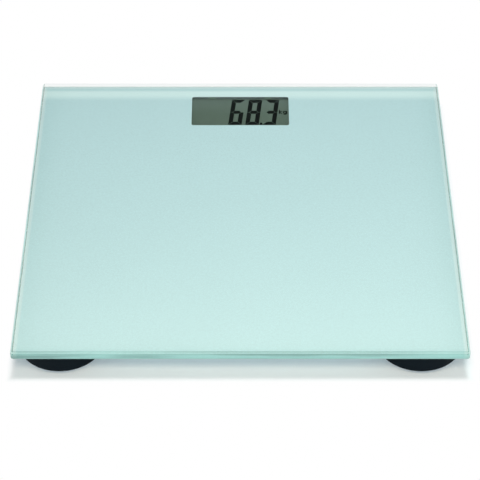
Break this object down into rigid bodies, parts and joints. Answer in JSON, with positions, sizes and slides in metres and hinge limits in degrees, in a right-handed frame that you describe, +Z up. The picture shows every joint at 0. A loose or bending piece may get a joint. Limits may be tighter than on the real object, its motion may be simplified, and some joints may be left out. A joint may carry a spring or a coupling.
{
  "type": "digital bathroom scale",
  "caption": "Flat glass-topped digital scale for body weight, on round load-cell feet, with a liquid crystal display under the glass and a battery door and unit button below.",
  "frame": {"origin": "on the floor, under the middle of the platform", "axes": "+Z up, +Y towards the display at the back edge, +X to the right of the person who reads it"},
  "size_m": [0.285, 0.28, 0.022],
  "materials": {
    "platform_glass": "clear float glass, polished",
    "mint_coat": "back-printed lacquer, pale mint",
    "foam_tape": "double-sided foam tape",
    "charcoal_plastic": "moulded, fine texture",
    "pale_foam": "closed-cell foam",
    "display_glass": "liquid crystal display",
    "reflector_film": "satin film",
    "contact_rubber": "striped conductive elastomer",
    "board_laminate": "solder mask",
    "chip_resin": "poured resin",
    "component_ceramic": "ceramic chip parts",
    "screw_steel": "zinc plated",
    "switch_plastic": "moulded",
    "button_plastic": "moulded",
    "cell_can": "nickel plated",
    "contact_brass": "nickel plated spring brass",
    "clip_plastic": "moulded",
    "red_insulation": "soft insulation",
    "white_insulation": "soft insulation",
    "black_insulation": "soft insulation",
    "black_plastic": "moulded, satin",
    "load_cell_steel": "stamped, nickel plated",
    "gauge_sealant": "silicone over a strain gauge",
    "foot_rubber": "moulded rubber"
  },
  "bodies": {
    "scale": {"glass_platform": "platform_glass", "back_coat": "mint_coat", "housing_tape": "foam_tape", "foot_tape_front_left": "foam_tape", "foot_tape_front_right": "foam_tape", "foot_tape_rear_left": "foam_tape", "foot_tape_rear_right": "foam_tape", "display_frame": "charcoal_plastic", "housing_cover": "charcoal_plastic", "window_pads": "pale_foam", "lcd_front_plate": "display_glass", "lcd_rear_plate": "display_glass", "lcd_reflector": "reflector_film", "contact_strips": "contact_rubber", "circuit_board": "board_laminate", "controller_chip": "chip_resin", "board_components": "component_ceramic", "board_screws": "screw_steel", "cover_screws": "screw_steel", "tact_switch": "switch_plastic", "coin_cell": "cell_can", "contact_plus": "contact_brass", "contact_minus": "contact_brass", "wire_clips": "clip_plastic", "red_leads": "red_insulation", "white_leads": "white_insulation", "black_leads": "black_insulation", "foot_seat_front_left": "black_plastic", "foot_seat_front_right": "black_plastic", "foot_seat_rear_left": "black_plastic", "foot_seat_rear_right": "black_plastic", "load_cell_front_left": "load_cell_steel", "load_cell_front_right": "load_cell_steel", "load_cell_rear_left": "load_cell_steel", "load_cell_rear_right": "load_cell_steel", "strain_gauge_front_left": "gauge_sealant", "strain_gauge_front_right": "gauge_sealant", "strain_gauge_rear_left": "gauge_sealant", "strain_gauge_rear_right": "gauge_sealant"},
    "front_left_foot": {"foot_front_left": "black_plastic", "foot_pad_front_left": "foot_rubber"},
    "front_right_foot": {"foot_front_right": "black_plastic", "foot_pad_front_right": "foot_rubber"},
    "rear_left_foot": {"foot_rear_left": "black_plastic", "foot_pad_rear_left": "foot_rubber"},
    "rear_right_foot": {"foot_rear_right": "black_plastic", "foot_pad_rear_right": "foot_rubber"},
    "unit_button": {"unit_button": "button_plastic", "switch_plunger": "switch_plastic"},
    "battery_door": {"battery_door": "charcoal_plastic", "door_cushion": "pale_foam"}
  },
  "joints": [
    {"name": "front_left_foot_travel", "type": "slide", "parent": "scale", "child": "front_left_foot", "axis": [0, 0, 1], "range_m": [0, 0.0005], "stiffness_N_per_m": 1000000, "deforming": ["load_cell_front_left"]},
    {"name": "front_right_foot_travel", "type": "slide", "parent": "scale", "child": "front_right_foot", "axis": [0, 0, 1], "range_m": [0, 0.0005], "stiffness_N_per_m": 1000000, "deforming": ["load_cell_front_right"]},
    {"name": "rear_left_foot_travel", "type": "slide", "parent": "scale", "child": "rear_left_foot", "axis": [0, 0, 1], "range_m": [0, 0.0005], "stiffness_N_per_m": 1000000, "deforming": ["load_cell_rear_left"]},
    {"name": "rear_right_foot_travel", "type": "slide", "parent": "scale", "child": "rear_right_foot", "axis": [0, 0, 1], "range_m": [0, 0.0005], "stiffness_N_per_m": 1000000, "deforming": ["load_cell_rear_right"]},
    {"name": "unit_button_press", "type": "slide", "parent": "scale", "child": "unit_button", "axis": [0, 0, 1], "range_m": [0, 0.0005], "stiffness_N_per_m": 3000, "springref_m": -0.0001},
    {"name": "battery_door_hinge", "type": "hinge", "parent": "scale", "child": "battery_door", "pos_m": [0.057, 0.0963, 0.0065], "axis": [-1, 0, 0], "range_deg": [0, 95]}
  ]
}
